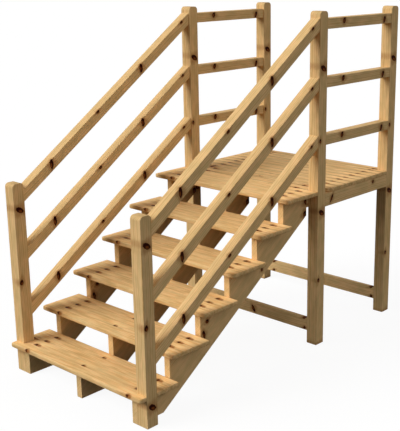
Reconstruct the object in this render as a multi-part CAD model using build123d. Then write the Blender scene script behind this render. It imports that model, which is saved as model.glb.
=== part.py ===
from build123d import *
import os

# Open-riser timber stairs with a landing deck and post-and-rail guards, in millimetres.
# X runs across the stairs (left is -X to somebody climbing), Y in the climbing direction, Z up.
# Lengths in Y are set out from the front of the stringers and moved at the end, so that the
# origin lies on the ground below the middle of the whole.

# ---- driving dimensions -------------------------------------------------------------------
OVERALL_WIDTH = 1186.0        # over the outer faces of the posts

STEP_COUNT = 6                # the last step is the front of the landing
GOING = 250.0
RISE = 170.0
FIRST_RISE = 192.0            # ground to the top of the first tread

TREAD_THICKNESS = 28.0        # of treads and of the deck
NOSING = 46.0                 # overhang of a tread in front of the riser line
TREAD_CORNER_RADIUS = 18.0    # front corners of treads, seen from above
TREAD_EDGE_RADIUS = 11.0      # upper and lower edges at a tread's front and ends
DECK_CORNER_RADIUS = 60.0     # front corners of the main deck panel, seen from above
DECK_EDGE_RADIUS = 7.0        # upper and lower outer edges of the main deck panel

STRINGER_WIDTH = 44.0
STRINGER_THROAT = 131.0       # slope line through the ground corner down to the underside
CENTRE_STRINGER_SHIFT = 9.0   # the middle stringer stands a little right of the centre
STRINGER_END_GAP = 16.0       # plumb cut of the stringers to the front of the landing posts

POST = 78.0                   # square section of newels and posts
POST_TOP_RADIUS = 24.0        # front and back top edges
NEWEL_ABOVE_TREAD = 1003.0    # top of the newels over the first tread
POST_ABOVE_DECK = 1113.0
LANDING_LENGTH = 861.0        # over the landing posts, in Y
DECK_BACK_SETBACK = 12.0      # deck edge to the back of the landing posts
FRONT_INFILL_BEHIND_POST = 30.0

RAIL_WIDTH = 67.5
RAIL_SETBACK = 2.5            # outer faces of the rails to the outer faces of the posts
STAIR_RAIL_DEPTH = 63.0       # square to the slope
STAIR_RAILS_ABOVE_SLOPE = {"bottom": 187.0, "middle": 545.0, "top": 903.0}    # top edges
LANDING_RAIL_DEPTH = 64.0
LANDING_RAILS_ABOVE_DECK = {"bottom": 352.0, "middle": 712.0, "top": 1068.0}    # top edges

BEAM_HEIGHT = 84.0
BEAM_WIDTH = 44.0
HEADER_WIDTH = 44.0
JOIST_WIDTH = 44.0
BRACE_HEIGHT = 86.0
BRACE_WIDTH = 28.0
BRACE_ABOVE_GROUND = 87.0
DECK_JOINT = 1.0              # joint between neighbouring deck panels
POST_JOINT = 1.0              # joint between a deck panel and a post
MOST_OF_HALF = 0.9            # share of half a wall that a rounding may take
TOLERANCE = 0.01

# ---- lines that the pieces share ------------------------------------------------------------
half_width = OVERALL_WIDTH / 2
post_inner = half_width - POST                 # inner faces of newels and posts
slope = RISE / GOING
landing_top = FIRST_RISE + (STEP_COUNT - 1) * RISE
landing_underside = landing_top - TREAD_THICKNESS
post_front = STEP_COUNT * GOING                # front faces of the front landing posts
post_back = post_front + LANDING_LENGTH        # back faces of the back landing posts
back_post_front = post_back - POST
front_post_back = post_front + POST
stringer_end = post_front - STRINGER_END_GAP
beam_bottom = landing_underside - BEAM_HEIGHT
deck_back = post_back - DECK_BACK_SETBACK
newel_height = FIRST_RISE + NEWEL_ABOVE_TREAD
landing_post_height = landing_top + POST_ABOVE_DECK
middle_y = (post_back - NOSING) / 2            # the origin's place along Y

NODES = {}


def add(name, shape):
    NODES[name] = Pos(0, -middle_y, 0) * shape


def block(x, y, z):
    """A box from its (low, high) pairs."""
    size = (x[1] - x[0], y[1] - y[0], z[1] - z[0])
    return Pos(x[0], y[0], z[0]) * Box(*size, align=(Align.MIN, Align.MIN, Align.MIN))


def side_profile(points, x):
    """A prism across the stairs from (y, z) points."""
    outline = Plane.YZ.offset(x[0]) * Polygon(*points, align=None)
    return extrude(outline, amount=x[1] - x[0], dir=(1, 0, 0))


def sides():
    """Both sides of the stairs: name and the (low, high) x of the posts there."""
    return (("left", (-half_width, -post_inner)), ("right", (post_inner, half_width)))


def tread_top(step):
    return FIRST_RISE + (step - 1) * RISE


def riser_line(step):
    return (step - 1) * GOING


def slope_line(y):
    """Height of the line that touches the tread tops at their riser lines."""
    return FIRST_RISE + slope * y


# ---- stringers ------------------------------------------------------------------------------
def stringer_profile():
    """Sawtooth outline: level seat on the ground, teeth, plumb cut at the landing."""
    points = [(0, 0)]
    for step in range(1, STEP_COUNT + 1):
        seat = tread_top(step) - TREAD_THICKNESS
        points.append((riser_line(step), seat))
        points.append((min(riser_line(step + 1), stringer_end), seat))
    points.append((stringer_end, slope * stringer_end - STRINGER_THROAT))
    points.append((STRINGER_THROAT / slope, 0))
    return points


def add_stringers():
    left = (-post_inner, -post_inner + STRINGER_WIDTH)
    centre = (CENTRE_STRINGER_SHIFT - STRINGER_WIDTH / 2, CENTRE_STRINGER_SHIFT + STRINGER_WIDTH / 2)
    right = (post_inner - STRINGER_WIDTH, post_inner)
    for name, x in (("left", left), ("centre", centre), ("right", right)):
        add(f"stringer_{name}", side_profile(stringer_profile(), x))


# ---- treads and deck ------------------------------------------------------------------------
def rounded_panel(x, y, top, corner_radius, edge_radius):
    """A panel with round front corners, and round edges everywhere but along its back."""
    panel = block(x, y, (top - TREAD_THICKNESS, top))
    front_corners = panel.edges().filter_by(Axis.Z).sort_by(Axis.Y)[:2]
    panel = fillet(front_corners, corner_radius)
    levels = panel.faces().sort_by(Axis.Z)
    round_edges = [edge for face in (levels[0], levels[-1]) for edge in face.edges()
                   if edge.center().Y < y[1] - TOLERANCE]
    return fillet(round_edges, min(edge_radius, MOST_OF_HALF * TREAD_THICKNESS / 2))


def add_treads():
    across = (-half_width, half_width)
    for step in range(1, STEP_COUNT):
        depth = (riser_line(step) - NOSING, riser_line(step + 1))
        tread = rounded_panel(across, depth, tread_top(step), TREAD_CORNER_RADIUS, TREAD_EDGE_RADIUS)
        if step == 1:
            for _, x in sides():
                notch = block(x, (0, POST + POST_JOINT), (0, FIRST_RISE + 1))
                tread -= notch
        add(f"tread_{step}", tread)


def add_deck():
    across = (-half_width, half_width)
    between = (-post_inner + POST_JOINT, post_inner - POST_JOINT)
    infill_back = front_post_back + FRONT_INFILL_BEHIND_POST
    main_back = back_post_front - POST_JOINT
    nosing_back = post_front - DECK_JOINT
    add("landing_tread", rounded_panel(across, (riser_line(STEP_COUNT) - NOSING, nosing_back), landing_top,
                                       TREAD_CORNER_RADIUS, TREAD_EDGE_RADIUS))
    add("deck_front_boards", block(between, (post_front, infill_back - DECK_JOINT),
                                   (landing_underside, landing_top)))
    add("deck_boards", rounded_panel(across, (infill_back, main_back), landing_top,
                                     DECK_CORNER_RADIUS, DECK_EDGE_RADIUS))
    add("deck_back_boards", block(between, (main_back + DECK_JOINT, deck_back),
                                  (landing_underside, landing_top)))


# ---- newels and posts -----------------------------------------------------------------------
def post(x, front, height):
    """A square post with its front and back top edges rounded."""
    shape = block(x, (front, front + POST), (0, height))
    top_edges = shape.faces().sort_by(Axis.Z)[-1].edges().filter_by(Axis.X)
    return fillet(top_edges, min(POST_TOP_RADIUS, MOST_OF_HALF * POST / 2))


def add_posts():
    for side, x in sides():
        add(f"newel_{side}", post(x, 0, newel_height))
        add(f"landing_post_front_{side}", post(x, post_front, landing_post_height))
        add(f"landing_post_back_{side}", post(x, back_post_front, landing_post_height))


# ---- rails ----------------------------------------------------------------------------------
def rail_sides():
    """Both sides with the rails' low and high X."""
    outer = half_width - RAIL_SETBACK
    return (("left", (-outer, RAIL_WIDTH - outer)), ("right", (outer - RAIL_WIDTH, outer)))


def stair_rail(x, above_slope):
    """A rail parallel to the flight, cut plumb against the newel and the landing post."""
    plumb_depth = STAIR_RAIL_DEPTH * (1 + slope ** 2) ** 0.5
    low_end = slope_line(POST) + above_slope
    high_end = slope_line(post_front) + above_slope
    return side_profile([(POST, low_end - plumb_depth), (post_front, high_end - plumb_depth),
                         (post_front, high_end), (POST, low_end)], x)


def add_rails():
    between_posts = (front_post_back, back_post_front)
    for side, x in rail_sides():
        for place, above_slope in STAIR_RAILS_ABOVE_SLOPE.items():
            add(f"stair_rail_{side}_{place}", stair_rail(x, above_slope))
        for place, above_deck in LANDING_RAILS_ABOVE_DECK.items():
            top = landing_top + above_deck
            add(f"landing_rail_{side}_{place}", block(x, between_posts, (top - LANDING_RAIL_DEPTH, top)))


# ---- landing frame --------------------------------------------------------------------------
def add_landing_frame():
    height = (beam_bottom, landing_underside)
    for side, sign in (("left", -1), ("right", 1)):
        x = sorted((sign * half_width, sign * (half_width - BEAM_WIDTH)))
        add(f"landing_beam_{side}", block(x, (front_post_back, back_post_front), height))
    between = (-post_inner, post_inner)
    header_front = (stringer_end, stringer_end + HEADER_WIDTH)
    header_back = (post_back - HEADER_WIDTH, post_back)
    add("header_front", block(between, header_front, height))
    add("header_back", block(between, header_back, height))
    joist_length = (header_front[1], header_back[0])
    joist_shift = (post_inner - JOIST_WIDTH / 2) / 2
    for name, middle in (("left", -joist_shift), ("centre", 0), ("right", joist_shift)):
        x = (middle - JOIST_WIDTH / 2, middle + JOIST_WIDTH / 2)
        add(f"joist_{name}", block(x, joist_length, height))


def add_cross_braces():
    between = (-post_inner, post_inner)
    height = (BRACE_ABOVE_GROUND, BRACE_ABOVE_GROUND + BRACE_HEIGHT)
    for name, front in (("front", post_front), ("back", back_post_front)):
        add(f"cross_brace_{name}", block(between, (front, front + BRACE_WIDTH), height))


add_stringers()
add_treads()
add_deck()
add_posts()
add_rails()
add_landing_frame()
add_cross_braces()

os.makedirs("parts", exist_ok=True)
for name, shape in NODES.items():
    export_step(shape, f"parts/{name}.step")
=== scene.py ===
"""Wooden deck stairs, finished.

Pine on every timber, separate boards in the treads and the landing, and a studio."""

import math
import random

import bmesh
import bpy
from mathutils import Matrix, Quaternion, Vector


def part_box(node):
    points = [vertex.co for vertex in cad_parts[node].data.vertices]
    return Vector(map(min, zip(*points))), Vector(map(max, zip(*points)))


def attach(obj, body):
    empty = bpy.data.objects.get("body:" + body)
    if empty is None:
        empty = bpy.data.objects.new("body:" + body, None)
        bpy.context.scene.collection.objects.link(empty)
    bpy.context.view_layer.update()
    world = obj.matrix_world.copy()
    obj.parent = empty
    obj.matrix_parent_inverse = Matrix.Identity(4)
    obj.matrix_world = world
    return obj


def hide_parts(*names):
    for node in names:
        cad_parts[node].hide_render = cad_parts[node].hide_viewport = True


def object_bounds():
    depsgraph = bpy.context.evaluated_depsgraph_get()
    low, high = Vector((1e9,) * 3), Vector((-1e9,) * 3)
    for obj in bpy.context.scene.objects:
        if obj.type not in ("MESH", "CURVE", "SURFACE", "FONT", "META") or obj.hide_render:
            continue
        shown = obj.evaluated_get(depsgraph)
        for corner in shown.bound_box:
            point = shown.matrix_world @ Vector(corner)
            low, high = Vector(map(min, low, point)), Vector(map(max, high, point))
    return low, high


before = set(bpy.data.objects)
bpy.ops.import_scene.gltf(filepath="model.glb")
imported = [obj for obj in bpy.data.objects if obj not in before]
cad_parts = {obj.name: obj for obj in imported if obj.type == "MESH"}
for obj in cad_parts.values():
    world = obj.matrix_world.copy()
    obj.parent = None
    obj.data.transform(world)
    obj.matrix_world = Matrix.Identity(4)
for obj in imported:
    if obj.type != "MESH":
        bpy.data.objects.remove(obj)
CAD_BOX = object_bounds()

bl_info = {
    "name": "Deck stairs",
    "version": (1, 0, 0),
    "blender": (4, 5, 0),
    "location": "View3D > Sidebar > Stairs",
    "description": "Finishes a flight of wooden deck stairs with its landing and rails",
    "category": "Object",
}

BODY = "root"
MM = 0.001

ACROSS = Vector((1, 0, 0))
DEEP = Vector((0, 1, 0))
UP = Vector((0, 0, 1))

SIDES = ("left", "right")
POSTS = [
    f"{post}_{side}"
    for post in ("newel", "landing_post_front", "landing_post_back")
    for side in SIDES
]
HEIGHTS = ("bottom", "middle", "top")
STAIR_RAILS = [f"stair_rail_{side}_{height}" for side in SIDES for height in HEIGHTS]
LANDING_RAILS = [f"landing_rail_{side}_{height}" for side in SIDES for height in HEIGHTS]
STRINGERS = ["stringer_left", "stringer_centre", "stringer_right"]
BEAMS = ["landing_beam_left", "landing_beam_right"]
JOISTS = ["joist_left", "joist_centre", "joist_right"]
HEADERS = ["header_front", "header_back"]
BRACES = ["cross_brace_front", "cross_brace_back"]
TREADS = ["tread_1", "tread_2", "tread_3", "tread_4", "tread_5", "landing_tread"]

# Where sockets share a name on the Mix node, they are reached by place.
VECTOR_A, VECTOR_B, MIXED_VECTOR = 4, 5, 1
COLOUR_A, COLOUR_B, MIXED_COLOUR = 6, 7, 2


def linear(hex_code):
    """The linear colour of an sRGB hex code, for a colour property or socket."""
    channels = [int(hex_code[i : i + 2], 16) / 255 for i in (0, 2, 4)]
    return [c / 12.92 if c <= 0.04045 else ((c + 0.055) / 1.055) ** 2.4 for c in channels]


class WoodSettings(bpy.types.PropertyGroup):
    """Colours and grain of the pine."""

    early: bpy.props.FloatVectorProperty(
        name="Early wood",
        description="The pale wood that grows in spring",
        subtype="COLOR",
        default=linear("E3C087"),
    )
    flush: bpy.props.FloatVectorProperty(
        name="Flushed wood",
        description="Slightly pinker tone of some stretches of the early wood",
        subtype="COLOR",
        default=linear("E6C089"),
    )
    late: bpy.props.FloatVectorProperty(
        name="Late wood",
        description="The darker line that closes each ring",
        subtype="COLOR",
        default=linear("C6924F"),
    )
    resin: bpy.props.FloatVectorProperty(
        name="Resin",
        description="The red-brown stain round each knot",
        subtype="COLOR",
        default=linear("9A5A25"),
    )
    heart: bpy.props.FloatVectorProperty(
        name="Knot heart",
        description="The wood in the middle of a knot",
        subtype="COLOR",
        default=linear("7A4018"),
    )
    bark: bpy.props.FloatVectorProperty(
        name="Knot bark",
        description="The dead bark that rings a knot",
        subtype="COLOR",
        default=linear("2E0B02"),
    )
    ring_spacing: bpy.props.FloatProperty(
        name="Ring spacing",
        description="One year's growth, drawn coarser than the real 3 to 5 mm so that it shows",
        unit="LENGTH",
        default=7.5 * MM,
    )
    roughness: bpy.props.FloatProperty(
        name="Roughness",
        description="Planed and unvarnished, so nearly matt",
        subtype="FACTOR",
        default=0.62,
        min=0,
        max=1,
    )


class TimberSettings(bpy.types.PropertyGroup):
    """How the timbers and boards are planed."""

    eased_edge: bpy.props.FloatProperty(
        name="Eased edge",
        description="Rounding left by the planer on every arris of a timber",
        unit="LENGTH",
        default=2.5 * MM,
    )
    board_edge: bpy.props.FloatProperty(
        name="Board edge",
        description="Rounding along the joints between a tread's boards",
        unit="LENGTH",
        default=0.5 * MM,
    )
    board_gap: bpy.props.FloatProperty(
        name="Board gap",
        description="Gap between two boards of a tread",
        unit="LENGTH",
        default=0.9 * MM,
    )
    deck_gap: bpy.props.FloatProperty(
        name="Deck gap",
        description="Gap between two boards of the landing",
        unit="LENGTH",
        default=2 * MM,
    )
    deck_ease: bpy.props.FloatProperty(
        name="Deck joint edge",
        description="Rounding along the joints between the landing's boards",
        unit="LENGTH",
        default=1.5 * MM,
    )
    tread_boards: bpy.props.IntProperty(
        name="Boards in a tread",
        description="Number of equal boards from the nosing to the back of a tread",
        default=4,
        min=1,
    )
    tread_corner: bpy.props.FloatProperty(
        name="Tread corner",
        description="Rounding of a tread's front corners, seen from above",
        unit="LENGTH",
        default=18 * MM,
    )
    tread_edge: bpy.props.FloatProperty(
        name="Tread edge",
        description="Rounding along a tread's nosing and ends",
        unit="LENGTH",
        default=9 * MM,
    )
    deck_corner: bpy.props.FloatProperty(
        name="Deck corner",
        description="Rounding of the landing's front corners, seen from above",
        unit="LENGTH",
        default=60 * MM,
    )
    deck_edge: bpy.props.FloatProperty(
        name="Deck edge",
        description="Rounding along the landing's edges",
        unit="LENGTH",
        default=7 * MM,
    )


class StageSettings(bpy.types.PropertyGroup):
    """Camera, light and floor."""

    azimuth: bpy.props.FloatProperty(
        name="Azimuth",
        description="How far round from the front, towards the right, the camera stands",
        subtype="ANGLE",
        default=math.radians(42.11),
    )
    elevation: bpy.props.FloatProperty(
        name="Elevation",
        description="How far above the horizon the camera stands",
        subtype="ANGLE",
        default=math.radians(15.08),
    )
    roll: bpy.props.FloatProperty(
        name="Roll",
        description="Turn of the camera about its own line of sight",
        subtype="ANGLE",
        default=math.radians(-0.54),
    )
    distance: bpy.props.FloatProperty(
        name="Distance",
        description="From the camera to the point that it looks at",
        unit="LENGTH",
        default=5.903,
    )
    aim: bpy.props.FloatVectorProperty(
        name="Aim",
        description="Where the camera looks, from the middle of the stairs",
        unit="LENGTH",
        subtype="XYZ",
        default=(0.148, 0.071, -0.173),
    )
    lens: bpy.props.FloatProperty(
        name="Lens",
        description="Focal length on a 36 mm sensor, in millimetres",
        default=76.6,
    )
    shift: bpy.props.FloatVectorProperty(
        name="Shift",
        description="Lens shift, sideways and upwards, as a share of the long side",
        size=2,
        default=(-0.0856, -0.0132),
    )
    sky: bpy.props.FloatProperty(
        name="Sky",
        description="Strength of the even light from all round",
        default=0.08,
    )
    key: bpy.props.FloatProperty(
        name="Key",
        description="Strength of the large lamp at the front left, 1 lighting white to white",
        default=0.92,
    )
    fill: bpy.props.FloatProperty(
        name="Fill",
        description="Strength of the wide lamp at the right",
        default=0.28,
    )
    back: bpy.props.FloatProperty(
        name="Back",
        description="Strength of the wide lamp behind",
        default=0.2,
    )
    shadow: bpy.props.FloatProperty(
        name="Floor shadow",
        description="How much of the floor's own light and shade is seen",
        subtype="FACTOR",
        default=0.1,
        min=0,
        max=1,
    )


def add_node(tree, kind, inputs=(), **settings):
    """Adds a shader node with its settings, and fills its sockets in order or by name."""
    made = tree.nodes.new("ShaderNode" + kind)
    for name, value in settings.items():
        setattr(made, name, value)
    for key, value in inputs.items() if isinstance(inputs, dict) else enumerate(inputs):
        if isinstance(value, bpy.types.Node):
            value = value.outputs[0]
        if isinstance(value, bpy.types.NodeSocket):
            tree.links.new(value, made.inputs[key])
        elif value is not None:
            made.inputs[key].default_value = value
    return made


# How far the growth rings bow outwards round a knot, and how far its stain reaches, in knot sizes.
RING_BOW = 9.0
STAIN_REACH = 2.3

# What differs between timbers and sawn boards, with places and lengths in knot sizes. "heart" is where a
# knot's heart lies, and "bark" how black its rim is. Each streak of brown beside a knot has its place
# along, half length, half width and strength. "pale" is how much the wood brightens behind a knot.
# "top" is painted light: how much brighter the upper faces are painted than the others, as if lit more.
# "rings" is how clear the years' lines are, and "bands" how much of the late wood's colour the broad
# bands between them hold. "joint" is how much darker a board's upper face is along its front edge, so
# that the joints show.
TIMBER = {
    "heart": (-0.28, -0.2, 0.24),
    "bark": 1.0,
    "streaks": ((0.0, 3.2, 1.0, 0.5),),
    "pale": 0.0,
    "top": 1.0,
    "rings": 1.0,
    "bands": 0.0,
    "joint": 0.0,
}
TREAD = {
    "heart": (0.9, 0.0, 0.0),
    "bark": 0.75,
    "streaks": ((1.1, 2.4, 1.25, 0.85), (0.0, 9.0, 0.8, 0.22)),
    "pale": 0.12,
    # Painted light: the treads' upper faces are painted brighter.
    "top": 1.29,
    "rings": 0.55,
    "bands": 0.4,
    "joint": 0.0,
}
DECK = {
    **TREAD,
    "streaks": ((1.1, 2.4, 1.25, 0.85), (0.0, 10.0, 0.8, 0.4)),
    # Painted light: the deck's upper faces are painted brighter.
    "top": 1.16,
    "joint": 0.33,
}


def knot(along, first, second, size, tilt=0.0, face="second"):
    """A branch end: its middle and half sizes in mm in the timber's frame, and its tilt in degrees."""
    turn = (0, math.radians(tilt), 0) if face == "first" else (0, 0, math.radians(tilt))
    return (along, first, second), size, turn


def nearest_knot(tree, point, knots):
    """A point's place in the frame of the nearest knot, whose rim is 1 from its middle."""
    nearest = closest = None
    for place, size, turn in knots:
        own = add_node(
            tree,
            "Mapping",
            {"Vector": point, "Location": place, "Rotation": turn, "Scale": size},
            vector_type="TEXTURE",
        )
        reach = add_node(tree, "VectorMath", [own], operation="LENGTH").outputs["Value"]
        if nearest is None:
            nearest, closest = own, reach
            continue
        nearer = add_node(tree, "Math", [reach, closest], operation="LESS_THAN")
        nearest = add_node(
            tree,
            "Mix",
            {"Factor": nearer, VECTOR_A: nearest, VECTOR_B: own},
            data_type="VECTOR",
        ).outputs[MIXED_VECTOR]
        closest = add_node(tree, "Math", [closest, reach], operation="MINIMUM")
    return nearest, closest


def step_between(tree, value, start, end, low=0.0, high=1.0):
    """A smooth step of a value from low at start to high at end."""
    return add_node(
        tree, "MapRange", [value, start, end, low, high], interpolation_type="SMOOTHSTEP"
    )


def stretched_noise(tree, point, along, across, detail):
    """Noise on a point in mm, whose patches are so long and so wide."""
    scaled = add_node(
        tree,
        "VectorMath",
        [point, (1 / along, 1 / across, 1 / across)],
        operation="MULTIPLY",
    )
    return add_node(tree, "TexNoise", {"Vector": scaled, "Scale": 1.0, "Detail": detail})


def wander(tree, noise, reach):
    """A push in mm, up to half of reach each way, from a noise's colour."""
    centred = add_node(
        tree, "VectorMath", [noise.outputs["Color"], (0.5, 0.5, 0.5)], operation="SUBTRACT"
    )
    return add_node(tree, "VectorMath", [centred, reach], operation="MULTIPLY")


def blend_colours(tree, factor, first, second):
    """Between two colours, sockets or settings, by a factor."""
    first, second = (
        c if isinstance(c, bpy.types.NodeSocket) else (*c, 1) for c in (first, second)
    )
    return add_node(
        tree,
        "Mix",
        {"Factor": factor, COLOUR_A: first, COLOUR_B: second},
        data_type="RGBA",
    ).outputs[MIXED_COLOUR]


def ring_lines(tree, point, heart, reach, spacing):
    """How much late wood shows at a point: rings about the heart, which bow outwards round a knot."""
    centred = add_node(tree, "VectorMath", [point, (0, *heart)], operation="SUBTRACT")
    drift = wander(tree, stretched_noise(tree, point, 520, 150, 2.0), (0, 26, 26))
    centred = add_node(tree, "VectorMath", [centred, drift], operation="ADD")
    flat = add_node(tree, "VectorMath", [centred, (0, 1, 1)], operation="MULTIPLY")
    radius = add_node(tree, "VectorMath", [flat], operation="LENGTH").outputs["Value"]
    squared = add_node(tree, "Math", [reach, reach], operation="MULTIPLY")
    rounder = add_node(tree, "Math", [squared, 1.0], operation="ADD")
    bow = add_node(tree, "Math", [RING_BOW, rounder], operation="DIVIDE")
    radius = add_node(tree, "Math", [radius, bow], operation="SUBTRACT")
    years = add_node(tree, "Math", [radius, spacing], operation="DIVIDE")
    growth = add_node(tree, "Math", [years], operation="FRACT")
    year = add_node(tree, "Math", [years], operation="FLOOR")
    vigour = add_node(tree, "TexWhiteNoise", {"W": year}, noise_dimensions="1D")
    rising = step_between(tree, growth, 0.25, 0.85)
    falling = step_between(tree, growth, 0.85, 1.0, 1.0, 0.0)
    late = add_node(tree, "Math", [rising, falling], operation="MULTIPLY")
    strength = add_node(tree, "MapRange", [vigour.outputs["Value"], 0.0, 1.0, 0.15, 0.6])
    return add_node(tree, "Math", [late, strength], operation="MULTIPLY")


def spread(tree, own, centre, size):
    """How far a point is from a patch beside a knot, 1 at the patch's rim."""
    away = add_node(tree, "VectorMath", [own, centre], operation="SUBTRACT")
    shares = tuple(1 / length for length in size)
    away = add_node(tree, "VectorMath", [away, shares], operation="MULTIPLY")
    return add_node(tree, "VectorMath", [away], operation="LENGTH").outputs["Value"]


def knot_colours(tree, own, reach, clear_wood, wood, look):
    """Clear wood with its knots: streaks and stain, a ring of bark open on one side, and a heart."""
    stain = step_between(tree, reach, 0.9, STAIN_REACH, 0.6, 0.0)
    for along, length, width, strength in look["streaks"]:
        away = spread(tree, own, (along, 0, 0), (length, width, width))
        streak = step_between(tree, away, 0.5, 1.25, strength, 0.0)
        stain = add_node(tree, "Math", [stain, streak], operation="MAXIMUM")
    stained = blend_colours(tree, stain, clear_wood, wood.resin)
    open_side = spread(tree, own, look["heart"], (1, 1, 1))
    bark = step_between(tree, open_side, 0.4, 0.66, 0.0, look["bark"])
    knot_colour = blend_colours(tree, bark, wood.heart, wood.bark)
    inside = step_between(tree, reach, 0.86, 1.08, 1.0, 0.0)
    return blend_colours(tree, inside, stained, knot_colour)


def pine_surface(tree, point, knot_point, along, heart, knots, look, wood, tone=1.0):
    """Planed pine, unvarnished: pale early wood, honey late wood, dark knots, and a nearly matt surface.

    point and knot_point are in millimetres in the timber's own frame, X along the grain."""
    ragged = add_node(tree, "TexNoise", {"Vector": knot_point, "Scale": 1 / 14, "Detail": 2.0})
    ragged = wander(tree, ragged, (11, 11, 11))
    uneven = add_node(tree, "VectorMath", [knot_point, ragged], operation="ADD")
    own, reach = nearest_knot(tree, uneven, knots)
    late = ring_lines(tree, point, heart, reach, wood.ring_spacing / MM)
    if look["bands"]:
        bands = stretched_noise(tree, point, 230, 15, 1.0).outputs["Fac"]
        band = step_between(tree, bands, 0.4, 0.64, 0.0, look["bands"])
        fine = add_node(tree, "Math", [late, look["rings"]], operation="MULTIPLY")
        late = add_node(tree, "Math", [fine, band], operation="ADD")

    # Long fibres, and slow changes of tone from one stretch to the next.
    fibres = stretched_noise(tree, point, 170, 3.2, 4.0).outputs["Fac"]
    patches = stretched_noise(tree, point, 95, 34, 2.0).outputs["Fac"]
    # tone scales the timber's brightness; on the cross braces it carries painted light and shade.
    fibre_tone = add_node(
        tree, "MapRange", [fibres, 0.3, 0.7, 0.94 * tone, 1.05 * tone]
    )
    patch_tone = add_node(tree, "MapRange", [patches, 0.3, 0.7, 0.91, 1.08])
    shade = add_node(tree, "Math", [fibre_tone, patch_tone], operation="MULTIPLY")
    if look["pale"]:
        beside = spread(tree, own, (0, 2.6, 0), (11, 1.9, 40))
        pale = step_between(tree, beside, 0.3, 1.2, 1 + look["pale"], 1.0)
        shade = add_node(tree, "Math", [shade, pale], operation="MULTIPLY")

    # End grain is a little darker than the planed faces. The upper faces get painted light: the look's
    # "top" paints them brighter than the others.
    normal = add_node(tree, "TexCoord").outputs["Normal"]
    facing = add_node(tree, "VectorMath", [normal, along], operation="DOT_PRODUCT")
    facing = add_node(tree, "Math", [facing.outputs["Value"]], operation="ABSOLUTE")
    end_shade = step_between(tree, facing, 0.75, 0.95, 1.0, 0.95)
    upwards = add_node(tree, "SeparateXYZ", [normal]).outputs["Z"]
    # Painted light: upward faces painted brighter by the look's "top".
    painted_top_light = step_between(tree, upwards, 0.8, 0.98, 1.0, look["top"])
    shades = [end_shade, painted_top_light]
    if look["joint"]:
        from_front = add_node(tree, "SeparateXYZ", [point]).outputs["Y"]
        darker = step_between(tree, from_front, 2.0, 16.0, look["joint"], 0.0)
        on_top = step_between(tree, upwards, 0.8, 0.98)
        darker = add_node(tree, "Math", [darker, on_top], operation="MULTIPLY")
        shades.append(add_node(tree, "Math", [1.0, darker], operation="SUBTRACT"))
    for part in shades:
        shade = add_node(tree, "Math", [shade, part], operation="MULTIPLY")

    pinker = step_between(tree, patches, 0.46, 0.6)
    early = blend_colours(tree, pinker, wood.early, wood.flush)
    clear_wood = add_node(
        tree,
        "VectorMath",
        {"Vector": blend_colours(tree, late, early, wood.late), "Scale": shade},
        operation="SCALE",
    ).outputs["Vector"]
    colour = knot_colours(tree, own, reach, clear_wood, wood, look)

    # The late wood is harder and stands a little proud; the fibres leave fine ridges.
    ridges = add_node(tree, "Math", [fibres, 0.6], operation="MULTIPLY")
    height = add_node(tree, "Math", [ridges, late], operation="ADD")
    relief = add_node(
        tree, "Bump", {"Strength": 0.4, "Distance": 0.25 * MM, "Height": height}
    )
    surface = add_node(
        tree,
        "BsdfPrincipled",
        {
            "Base Color": colour,
            "Roughness": wood.roughness,
            "IOR": 1.5,
            "Specular IOR Level": 0.02,
            "Normal": relief,
        },
    )
    add_node(tree, "OutputMaterial", [surface])


def new_material(name):
    """An empty material."""
    material = bpy.data.materials.new(name)
    material.use_nodes = True
    material.node_tree.nodes.clear()
    return material


def flight_pitch():
    """The slope of the flight, from the places of two treads."""
    lower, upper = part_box("tread_2"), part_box("tread_3")
    return math.atan2(upper[1].z - lower[1].z, upper[0].y - lower[0].y)


def slope_axes():
    """Along the slope, and square to it upwards."""
    pitch = flight_pitch()
    return (
        Vector((0, math.cos(pitch), math.sin(pitch))),
        Vector((0, -math.sin(pitch), math.cos(pitch))),
    )


def straight_origin(node, along):
    """The middle of a straight timber's lower, left or front end."""
    low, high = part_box(node)
    middle = (low + high) / 2
    return middle - along * (high - low).dot(along) / 2


def sloping_origin(node):
    """The middle of a sloping rail's lower end, which is cut plumb."""
    low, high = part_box(node)
    plumb_depth = (high.z - low.z) - math.tan(flight_pitch()) * (high.y - low.y)
    return Vector(((low.x + high.x) / 2, low.y, low.z + plumb_depth / 2))


def timber_pine(node, origin, along, first, heart, knots, context, tone=1.0):
    """Pine for one CAD timber, with the grain running along it.

    heart is where the middle of the growth rings lies across the grain, in mm."""
    material = new_material("planed_pine_" + node)
    tree = material.node_tree
    turn = Matrix((along, first, along.cross(first))).transposed().to_euler("XYZ")
    point = add_node(
        tree,
        "Mapping",
        {
            "Vector": add_node(tree, "TexCoord").outputs["Object"],
            "Location": origin,
            "Rotation": turn,
            "Scale": (MM, MM, MM),
        },
        vector_type="TEXTURE",
    )
    seed = random.Random(node)
    place = add_node(
        tree,
        "VectorMath",
        [point, (seed.uniform(1000, 9000), 0, 0)],
        operation="ADD",
    )
    wood = context.scene.stairs_wood
    pine_surface(tree, place, point, along, heart, knots, TIMBER, wood, tone)
    return material


def finish_timber(node, material, context):
    """Gives a CAD timber its material and its planed edges."""
    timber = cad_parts[node]
    timber.data.materials.clear()
    timber.data.materials.append(material)
    weld = timber.modifiers.new("closed", "WELD")
    weld.merge_threshold = 0.01 * MM
    flat = timber.modifiers.new("whole_faces", "DECIMATE")
    flat.decimate_type = "DISSOLVE"
    flat.angle_limit = math.radians(0.5)
    eased = timber.modifiers.new("eased_edges", "BEVEL")
    eased.width = context.scene.stairs_timber.eased_edge
    eased.segments = 2
    eased.limit_method = "ANGLE"
    eased.angle_limit = math.radians(35)
    eased.harden_normals = True


# Branches leave a pine in whorls, here one every 457 mm, by turns through a face and by its corner.
FACE_TO_CORNER = 465
CORNER_TO_FACE = 449
THROUGH = 400  # half depth of a knot that runs right through a timber
PAST_END = 20  # how far past a timber's end a knot's middle may lie

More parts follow.
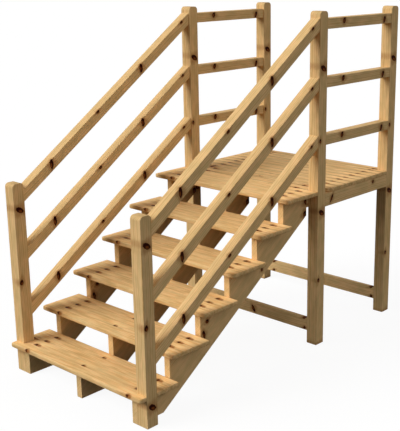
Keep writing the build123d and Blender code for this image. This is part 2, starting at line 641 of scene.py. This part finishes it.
# Where a knot stands in the middle of a face, along each kind of timber, in mm.
NEWEL_KNOT = 119
POST_KNOT = 898
STAIR_RAIL_KNOT = 270
LANDING_RAIL_KNOT = 620

# How bright single timbers are beside the others. On the cross braces this is painted light and shade: the
# back one is painted lighter, as if lit, and the front one darker, as if in shade.
STAIR_RAIL_TONE = 1.06
BRACE_PAINTED_LIGHT = {"cross_brace_front": 0.97, "cross_brace_back": 1.14}


def whorl_knots(first_face, length, face_knot, corner_knot):
    """Knots along a timber, by turns of two kinds, each given without its place along."""
    knots = []
    place = first_face - FACE_TO_CORNER - CORNER_TO_FACE
    while place < length + FACE_TO_CORNER:
        knots.append(knot(place, *face_knot))
        knots.append(knot(place + FACE_TO_CORNER, *corner_knot))
        place += FACE_TO_CORNER + CORNER_TO_FACE
    return [k for k in knots if -PAST_END < k[0][0] < length + PAST_END]


class STAIRS_OT_posts(bpy.types.Operator):
    """Finish the two newels and the four landing posts"""

    bl_idname = "stairs.posts"
    bl_label = "Posts"

    def execute(self, context):
        for node in POSTS:
            low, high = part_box(node)
            half = (high.x - low.x) / 2 / MM
            newel = node.startswith("newel")
            face_knot = (0, 0, (17, THROUGH, 30), -28, "first")
            corner_size = (18, 40, 14) if newel else (14, 40, 11)
            corner_knot = (half, 16 - half, corner_size, -8, "first")
            first_face = NEWEL_KNOT if newel else POST_KNOT
            knots = whorl_knots(first_face, (high.z - low.z) / MM, face_knot, corner_knot)
            material = timber_pine(
                node, straight_origin(node, UP), UP, ACROSS, (-60, 70), knots, context
            )
            finish_timber(node, material, context)
        return {"FINISHED"}


class STAIRS_OT_stair_rails(bpy.types.Operator):
    """Finish the six sloping rails"""

    bl_idname = "stairs.stair_rails"
    bl_label = "Stair rails"

    def execute(self, context):
        along, first = slope_axes()
        for node in STAIR_RAILS:
            low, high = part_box(node)
            half = (high.x - low.x) / 2 / MM
            length = (high.y - low.y) / along.y / MM
            face_knot = (9, half, (14, 32, 14), -33)
            corner_knot = (22, half, (14, 9, 12), 0)
            knots = whorl_knots(STAIR_RAIL_KNOT, length, face_knot, corner_knot)
            origin = sloping_origin(node)
            material = timber_pine(
                node, origin, along, first, (-70, -60), knots, context, STAIR_RAIL_TONE
            )
            finish_timber(node, material, context)
        return {"FINISHED"}


class STAIRS_OT_landing_rails(bpy.types.Operator):
    """Finish the six level rails of the landing"""

    bl_idname = "stairs.landing_rails"
    bl_label = "Landing rails"

    def execute(self, context):
        for node in LANDING_RAILS:
            low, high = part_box(node)
            half = (high.x - low.x) / 2 / MM
            face_knot = (-5, 0, (14, 23, THROUGH), -24)
            corner_knot = (12, half, (15, 19, 40), -12)
            length = (high.y - low.y) / MM
            knots = whorl_knots(LANDING_RAIL_KNOT, length, face_knot, corner_knot)
            material = timber_pine(
                node, straight_origin(node, DEEP), DEEP, UP, (-75, -60), knots, context
            )
            finish_timber(node, material, context)
        return {"FINISHED"}


class STAIRS_OT_stringers(bpy.types.Operator):
    """Finish the three cut stringers under the treads"""

    bl_idname = "stairs.stringers"
    bl_label = "Stringers"

    def execute(self, context):
        along, first = slope_axes()
        knots = [
            knot(235, 7, 0, (17, 17, THROUGH), -30),
            knot(643, 5, 0, (11, 26, THROUGH), -20),
            knot(707, 50, 0, (13, 13, THROUGH)),
            knot(1180, 10, 0, (11, 18, THROUGH), -30),
            knot(1217, -68, 0, (10, 12, THROUGH)),
            knot(1714, -90, 0, (17, 25, THROUGH), -30),
            knot(1769, -25, 0, (19, 27, THROUGH)),
        ]
        for node in STRINGERS:
            low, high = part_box(node)
            origin = Vector(((low.x + high.x) / 2, low.y, low.z))
            material = timber_pine(
                node, origin, along, first, (160, -95), knots, context
            )
            finish_timber(node, material, context)
        return {"FINISHED"}


class STAIRS_OT_landing_frame(bpy.types.Operator):
    """Finish the beams, headers and joists under the landing, and the two cross braces"""

    bl_idname = "stairs.landing_frame"
    bl_label = "Landing frame"

    def execute(self, context):
        beam_knots = [
            knot(68, 3, 0, (9, 30, THROUGH), -29),
            knot(538, 26, 0, (11, 12, THROUGH), -15),
        ]
        for node in BEAMS + JOISTS:
            material = timber_pine(
                node, straight_origin(node, DEEP), DEEP, UP, (-85, -80), beam_knots, context
            )
            finish_timber(node, material, context)
        for node in HEADERS + BRACES:
            low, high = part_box(node)
            edge = (high.z - low.z) / 2 / MM
            across_knots = [
                knot(100, 0, edge - 2, (16, THROUGH, 7), -20, "first"),
                knot(98, 0, 14 - edge, (11, THROUGH, 9), -20, "first"),
                knot(564, 0, -6, (12, THROUGH, 26), -31, "first"),
                knot(1009, 0, edge - 2, (16, THROUGH, 7), -20, "first"),
                knot(1011, 0, 13 - edge, (11, THROUGH, 10), -20, "first"),
            ]
            # Painted light and shade on the cross braces: the back one lighter, the front one darker.
            tone = BRACE_PAINTED_LIGHT.get(node, 1.0)
            origin = straight_origin(node, ACROSS)
            material = timber_pine(
                node, origin, ACROSS, DEEP, (90, -80), across_knots, context, tone
            )
            finish_timber(node, material, context)
        return {"FINISHED"}


# How far the grain of one board runs before the next one's begins, in mm.
BOARD_STRETCH = 3000

# Where the two large knots of a board lie, from the middle of the stairs, in mm.
BOARD_KNOTS = (-440, 477)
NOSE_KNOTS = (-428, 487)
SHORT_BOARD_KNOTS = (-381, 409)

# The landing's boards, each with its gap, and the narrower last one.
DECK_PITCH = 73.6 * MM
LAST_DECK_BOARD = 52 * MM

SAME_PLACE = 1e-6  # metres within which two places are one


def board_pine(name, kinds, look, context):
    """Pine for separate boards from their own grain attribute. Boards of a kind have the same knots.

    A kind lists its knots in mm: place along, from the front edge and up, and half sizes."""
    material = new_material(name)
    tree = material.node_tree
    grain = add_node(tree, "Attribute", attribute_name="grain").outputs["Vector"]
    parts = add_node(tree, "SeparateXYZ", [grain])
    wrapped = add_node(
        tree,
        "Math",
        [parts.outputs["X"], (len(kinds) - 0.5) * BOARD_STRETCH, -0.5 * BOARD_STRETCH],
        operation="WRAP",
    )
    knot_point = add_node(
        tree, "CombineXYZ", [wrapped, parts.outputs["Y"], parts.outputs["Z"]]
    )
    knots = [
        knot(number * BOARD_STRETCH + along, *place, size)
        for number, kind in enumerate(kinds)
        for along, *place, size in kind
    ]
    wood = context.scene.stairs_wood
    pine_surface(tree, grain, knot_point, ACROSS, (-33, -75), knots, look, wood)
    return material


def board_places(sequence, kinds, seed):
    """Where the figure of each board in a sequence of kinds starts."""
    chance = random.Random(seed)
    return [
        (kind + len(kinds) * chance.randrange(20)) * BOARD_STRETCH + chance.uniform(-4, 4)
        for kind in sequence
    ]


def box_outline(low, high):
    """The outline of a box seen from above, its two front corners first."""
    return [(low.x, low.y), (high.x, low.y), (high.x, high.y), (low.x, high.y)]


def raised_panel(outline, bottom, top):
    """A flat panel pulled up from its outline."""
    panel = bmesh.new()
    face = panel.faces.new([panel.verts.new((x, y, bottom)) for x, y in outline])
    raised = bmesh.ops.extrude_face_region(panel, geom=[face])
    lifted = [v for v in raised["geom"] if isinstance(v, bmesh.types.BMVert)]
    bmesh.ops.translate(panel, vec=(0, 0, top - bottom), verts=lifted)
    bmesh.ops.recalc_face_normals(panel, faces=panel.faces)
    return panel


def round_edges(panel, edges, radius, segments):
    """Rounds some edges of a panel."""
    bmesh.ops.bevel(
        panel,
        geom=edges,
        offset=radius,
        offset_type="OFFSET",
        segments=segments,
        profile=0.5,
        affect="EDGES",
        clamp_overlap=True,
        material=-1,
    )


def saw_boards(panel, joints, gap, ease, places, target):
    """Saws a panel along X into boards with eased edges, and adds each to target with its grain."""
    layer = target.verts.layers.float_vector.get("grain")
    for number, (front, back) in enumerate(zip(joints, joints[1:])):
        board = panel.copy()
        sawn = []
        for place, outwards, inner in ((front, -1, number > 0), (back, 1, back != joints[-1])):
            if not inner:
                continue
            cut = bmesh.ops.bisect_plane(
                board,
                geom=board.verts[:] + board.edges[:] + board.faces[:],
                dist=1e-7,
                plane_co=(0, place - outwards * gap / 2, 0),
                plane_no=(0, outwards, 0),
                clear_outer=True,
            )
            rim = [e for e in cut["geom_cut"] if isinstance(e, bmesh.types.BMEdge)]
            bmesh.ops.edgeloop_fill(board, edges=rim)
            sawn.append(place - outwards * gap / 2)
        edges = [
            e
            for e in board.edges
            if any(all(abs(v.co.y - y) < SAME_PLACE for v in e.verts) for y in sawn)
        ]
        round_edges(board, edges, ease, 2)
        bmesh.ops.recalc_face_normals(board, faces=board.faces)
        foot = min(v.co.z for v in board.verts)
        head = max(v.co.z for v in board.verts)
        own = Vector((0, front, (foot + head) / 2))
        copies = {}
        for vert in board.verts:
            copy = target.verts.new(vert.co)
            copy[layer] = (vert.co - own) / MM + Vector((places[number], 0, 0))
            copies[vert] = copy
        for face in board.faces:
            made = target.faces.new([copies[v] for v in face.verts])
            made.smooth = True
        board.free()


def finish_boards(name, boards, material, slot, *nodes):
    """Makes the finished boards an object that stands for their CAD nodes."""
    mesh = bpy.data.meshes.new(name)
    boards.to_mesh(mesh)
    boards.free()
    mesh.materials.append(material)
    mesh.set_sharp_from_angle(angle=math.radians(30))
    piece = bpy.data.objects.new(name, mesh)
    bpy.context.scene.collection.objects.link(piece)
    level = piece.modifiers.new("level_faces", "WEIGHTED_NORMAL")
    level.keep_sharp = True
    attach(piece, BODY)
    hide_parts(*nodes)


def new_boards():
    """An empty mesh that takes boards and their grain."""
    boards = bmesh.new()
    boards.verts.layers.float_vector.new("grain")
    return boards


def rim_edges(panel):
    """Level edges round a panel's outside, between two faces that meet squarely."""
    found = []
    for edge in panel.edges:
        level = abs(edge.verts[0].co.z - edge.verts[1].co.z) < SAME_PLACE
        if level and edge.calc_face_angle(0) > math.radians(60):
            found.append(edge)
    return found


def plumb_edges_at(panel, corners):
    """The upright edges of a panel at some of its corners."""
    return [
        e
        for e in panel.edges
        if abs(e.verts[0].co.z - e.verts[1].co.z) > SAME_PLACE
        and any((e.verts[0].co.xy - Vector(c)).length < SAME_PLACE for c in corners)
    ]


class STAIRS_OT_treads(bpy.types.Operator):
    """Build each tread and the landing's front from four boards, notched round the newels at the foot"""

    bl_idname = "stairs.treads"
    bl_label = "Treads"

    def execute(self, context):
        timber = context.scene.stairs_timber
        weak = [(along, 8, 0, (12, 12, THROUGH)) for along in BOARD_KNOTS]
        strong = [(along, 8, 0, (14, 15, THROUGH)) for along in BOARD_KNOTS]
        strong.append((14, 2, 0, (9, 13, THROUGH)))
        nose = [(along, 0, 7, (11, 12, 11)) for along in NOSE_KNOTS]
        notched = [*strong, (-537, 66, 0, (13, 12, THROUGH))]
        kinds = (weak, strong, nose, notched)
        material = board_pine("planed_pine_treads", kinds, TREAD, context)
        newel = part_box("newel_left")
        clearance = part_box("landing_post_front_left")[0].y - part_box("landing_tread")[1].y
        for number, node in enumerate(TREADS):
            low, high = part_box(node)
            outline = box_outline(low, high)
            if number == 0:
                inner = newel[1].x + clearance
                back = newel[1].y + clearance
                front = newel[0].y
                outline[2:2] = [(high.x, front), (-inner, front), (-inner, back), (high.x, back)]
                outline += [(low.x, back), (inner, back), (inner, front), (low.x, front)]
            panel = raised_panel(outline, low.z, high.z)
            corners = plumb_edges_at(panel, outline[:2])
            round_edges(panel, corners, timber.tread_corner, 6)
            outer = [
                e
                for e in rim_edges(panel)
                if number > 0 or self.is_outer(e, newel)
            ]
            round_edges(panel, outer, timber.tread_edge, 5)
            count = timber.tread_boards
            joints = [low.y + (high.y - low.y) * i / count for i in range(count + 1)]
            boards = new_boards()
            sequence = [kinds.index(nose)] + [(i + 1) % 2 for i in range(count - 1)]
            if number == 0:
                sequence[1] = kinds.index(notched)
            places = board_places(sequence, kinds, node)
            saw_boards(panel, joints, timber.board_gap, timber.board_edge, places, boards)
            panel.free()
            finish_boards(node + "_boards", boards, material, "tread_pine", node)
        return {"FINISHED"}

    def is_outer(self, edge, newel):
        """Whether an edge of the notched tread is on its outside, not in a notch."""
        middle = (edge.verts[0].co + edge.verts[1].co) / 2
        notch = newel[1].x + 5 * MM
        in_notch = abs(middle.x) > abs(notch) - 10 * MM and newel[0].y - 1 * MM < middle.y
        return not (in_notch and middle.y < newel[1].y + 5 * MM)


class STAIRS_OT_deck(bpy.types.Operator):
    """Build the landing's deck from boards between and behind its posts"""

    bl_idname = "stairs.deck"
    bl_label = "Deck"

    def execute(self, context):
        timber = context.scene.stairs_timber
        weak = [(along, 8, 0, (11, 10, THROUGH)) for along in BOARD_KNOTS]
        strong = [(along, 8, 0, (13, 13, THROUGH)) for along in BOARD_KNOTS]
        strong.append((14, 0, 0, (8, 7, THROUGH)))
        short_weak = [(along, 8, 0, (11, 10, THROUGH)) for along in SHORT_BOARD_KNOTS]
        short_strong = [(along, 8, 0, (13, 13, THROUGH)) for along in SHORT_BOARD_KNOTS]
        kinds = (weak, strong, short_weak, short_strong)
        material = board_pine("planed_pine_deck", kinds, DECK, context)
        for node in ("deck_front_boards", "deck_boards", "deck_back_boards"):
            low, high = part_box(node)
            outline = box_outline(low, high)
            panel = raised_panel(outline, low.z, high.z)
            if node == "deck_boards":
                corners = plumb_edges_at(panel, outline[:2])
                round_edges(panel, corners, timber.deck_corner, 8)
            round_edges(panel, rim_edges(panel), timber.deck_edge, 3)
            joints = [low.y, high.y]
            sequence = [0]
            if node == "deck_front_boards":
                joints = [low.y, low.y + DECK_PITCH, high.y]
                sequence = [kinds.index(short_weak), kinds.index(short_strong)]
            if node == "deck_boards":
                last = high.y - LAST_DECK_BOARD
                inner = [last - DECK_PITCH * i for i in reversed(range(9))]
                joints = [low.y, *inner, high.y]
                sequence = [(i + 1) % 2 for i in range(len(joints) - 1)]
            boards = new_boards()
            places = board_places(sequence, kinds, node)
            saw_boards(panel, joints, timber.deck_gap, timber.deck_ease, places, boards)
            panel.free()
            finish_boards(node + "_planks", boards, material, "tread_pine", node)
        return {"FINISHED"}


def white_to_camera(tree):
    """1 for rays that the camera, gloss or glass sends, 0 for the rays that light things."""
    path = add_node(tree, "LightPath")
    seen = add_node(
        tree,
        "Math",
        [path.outputs["Is Camera Ray"], path.outputs["Is Glossy Ray"]],
        operation="MAXIMUM",
    )
    return add_node(
        tree, "Math", [seen, path.outputs["Is Transmission Ray"]], operation="MAXIMUM"
    )


class STAIRS_OT_stage(bpy.types.Operator):
    """Set up the floor, the light and the camera"""

    bl_idname = "stairs.stage"
    bl_label = "Stage"

    def execute(self, context):
        stage = context.scene.stairs_stage
        self.add_floor(stage)
        self.add_sky(stage)
        self.add_lamp("key_lamp", stage.key, turn=30, height=33, size=45)
        self.add_lamp("fill_lamp", stage.fill, turn=-90, height=28, size=80)
        self.add_lamp("back_lamp", stage.back, turn=165, height=20, size=80)
        self.add_camera(stage)
        context.scene.view_settings.view_transform = "Standard"
        return {"FINISHED"}

    def add_floor(self, stage):
        """A plain white floor that shows the stairs' shadow and throws little light back at them."""
        sheet = bmesh.new()
        bmesh.ops.create_circle(sheet, cap_ends=True, radius=90, segments=96)
        mesh = bpy.data.meshes.new("floor")
        sheet.to_mesh(mesh)
        sheet.free()
        floor = bpy.data.objects.new("floor", mesh)
        bpy.context.scene.collection.objects.link(floor)
        material = new_material("painted_white_floor")
        tree = material.node_tree
        lit = add_node(tree, "BsdfDiffuse", {"Color": (1, 1, 1, 1)})
        dim = add_node(tree, "BsdfDiffuse", {"Color": (0.03, 0.03, 0.03, 1)})
        # A little over 1, as the share that shows light and shade is under white.
        glow = add_node(tree, "Emission", {"Color": (1, 1, 1, 1), "Strength": 1.026})
        shown = add_node(tree, "MixShader", [stage.shadow, glow, lit])
        either = add_node(tree, "MixShader", [white_to_camera(tree), dim, shown])
        add_node(tree, "OutputMaterial", [either])
        mesh.materials.append(material)

    def add_sky(self, stage):
        """Even light from all round, and white where the camera looks past the floor."""
        world = bpy.data.worlds.new("studio")
        bpy.context.scene.world = world
        world.use_nodes = True
        tree = world.node_tree
        tree.nodes.clear()
        light = add_node(
            tree, "Background", {"Color": (1, 1, 1, 1), "Strength": stage.sky}
        )
        white = add_node(tree, "Background", {"Color": (1, 1, 1, 1), "Strength": 1.0})
        either = add_node(tree, "MixShader", [white_to_camera(tree), light, white])
        add_node(tree, "OutputWorld", [either])

    def add_lamp(self, name, strength, turn, height, size):
        """A soft lamp far away, so far left of the front, so high and so wide, in degrees."""
        lamp = bpy.data.lights.new(name, "SUN")
        lamp.energy = strength * math.pi
        lamp.angle = math.radians(size)
        lit_from = bpy.data.objects.new(name, lamp)
        bpy.context.scene.collection.objects.link(lit_from)
        turn, height = math.radians(turn), math.radians(height)
        level = math.cos(height)
        travel = Vector((math.sin(turn) * level, math.cos(turn) * level, -math.sin(height)))
        lit_from.rotation_mode = "QUATERNION"
        lit_from.rotation_quaternion = travel.to_track_quat("-Z", "Y")

    def add_camera(self, stage):
        """A long lens that looks up the flight from the right."""
        data = bpy.data.cameras.new("camera")
        data.lens = stage.lens
        data.shift_x, data.shift_y = stage.shift
        data.clip_end = 300
        camera = bpy.data.objects.new("camera", data)
        bpy.context.scene.collection.objects.link(camera)
        level = math.cos(stage.elevation)
        sight = Vector(
            (
                -math.sin(stage.azimuth) * level,
                math.cos(stage.azimuth) * level,
                -math.sin(stage.elevation),
            )
        )
        low, high = CAD_BOX
        aim = (low + high) / 2 + Vector(stage.aim)
        camera.location = aim - sight * stage.distance
        camera.rotation_mode = "QUATERNION"
        camera.rotation_quaternion = sight.to_track_quat("-Z", "Y") @ Quaternion(
            (0, 0, 1), stage.roll
        )
        bpy.context.scene.camera = camera


STEPS = (
    STAIRS_OT_stage,
    STAIRS_OT_posts,
    STAIRS_OT_stair_rails,
    STAIRS_OT_landing_rails,
    STAIRS_OT_stringers,
    STAIRS_OT_landing_frame,
    STAIRS_OT_treads,
    STAIRS_OT_deck,
)


class STAIRS_PT_build(bpy.types.Panel):
    """Lists the steps that finish the stairs, and their settings"""

    bl_idname = "STAIRS_PT_build"
    bl_label = "Deck stairs"
    bl_space_type = "VIEW_3D"
    bl_region_type = "UI"
    bl_category = "Stairs"

    def draw(self, context):
        for settings in (
            context.scene.stairs_wood,
            context.scene.stairs_timber,
            context.scene.stairs_stage,
        ):
            box = self.layout.box()
            for name in settings.__annotations__:
                box.prop(settings, name)
        for step in STEPS:
            self.layout.operator(step.bl_idname)


SETTINGS = {
    "stairs_wood": WoodSettings,
    "stairs_timber": TimberSettings,
    "stairs_stage": StageSettings,
}


def register():
    for made in (*SETTINGS.values(), *STEPS, STAIRS_PT_build):
        bpy.utils.register_class(made)
    for name, settings in SETTINGS.items():
        setattr(bpy.types.Scene, name, bpy.props.PointerProperty(type=settings))


def unregister():
    for name in SETTINGS:
        delattr(bpy.types.Scene, name)
    for made in reversed((*SETTINGS.values(), *STEPS, STAIRS_PT_build)):
        bpy.utils.unregister_class(made)


def main():
    register()
    for step in STEPS:
        module, name = step.bl_idname.split(".")
        getattr(getattr(bpy.ops, module), name)()


if __name__ == "__main__":
    main()
